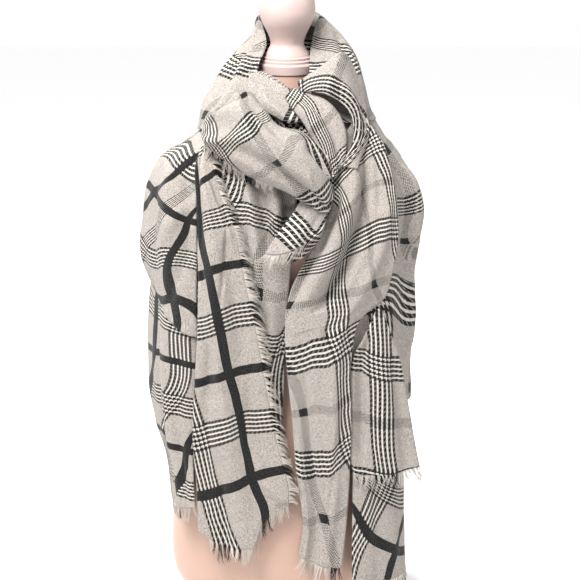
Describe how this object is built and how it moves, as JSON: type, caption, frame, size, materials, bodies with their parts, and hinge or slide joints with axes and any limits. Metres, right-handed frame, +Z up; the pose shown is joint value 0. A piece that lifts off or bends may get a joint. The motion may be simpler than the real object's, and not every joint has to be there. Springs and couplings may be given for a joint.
{
  "type": "blanket scarf on dress form",
  "caption": "Plaid blanket scarf wound round the neck of a limbless countertop dress form, its fringed ends hanging at front and back.",
  "frame": {"origin": "middle of the form's flat underside, on the surface that it stands on", "axes": "+Z up, the form's front towards -Y, +X to the form's left"},
  "size_m": [0.4132, 0.3077, 0.9235],
  "materials": {
    "shell": "smooth cream shell of the form's body, satin",
    "cap": "smooth pale pinkish white neck cap and knob, satin",
    "wool": "heathered grey and cream twill with charcoal windowpane stripes and fine glen bands",
    "fringe": "short loose yarn ends in cream, grey and charcoal"
  },
  "bodies": {
    "root": {"centre_hem_fringe": "fringe", "centre_right": "wool", "collar": "wool", "cowl_fringe": "fringe", "cowl_front": "wool", "cowl_inner": "wool", "first_turn": "wool", "form_neck_cap": "cap", "form_torso": "shell", "left_cape": "wool", "left_front": "wool", "left_front_hem_fringe": "fringe", "left_front_side_fringe": "fringe", "left_inner": "wool", "long_wrap": "wool", "long_wrap_fringe": "fringe", "right_shoulder": "wool", "right_tail": "wool", "right_tail_fringe": "fringe", "tuck_tail": "wool", "tuck_tail_fringe": "fringe", "tuck_under": "wool", "turned_lip": "wool", "twist_roll": "wool"}
  },
  "joints": []
}
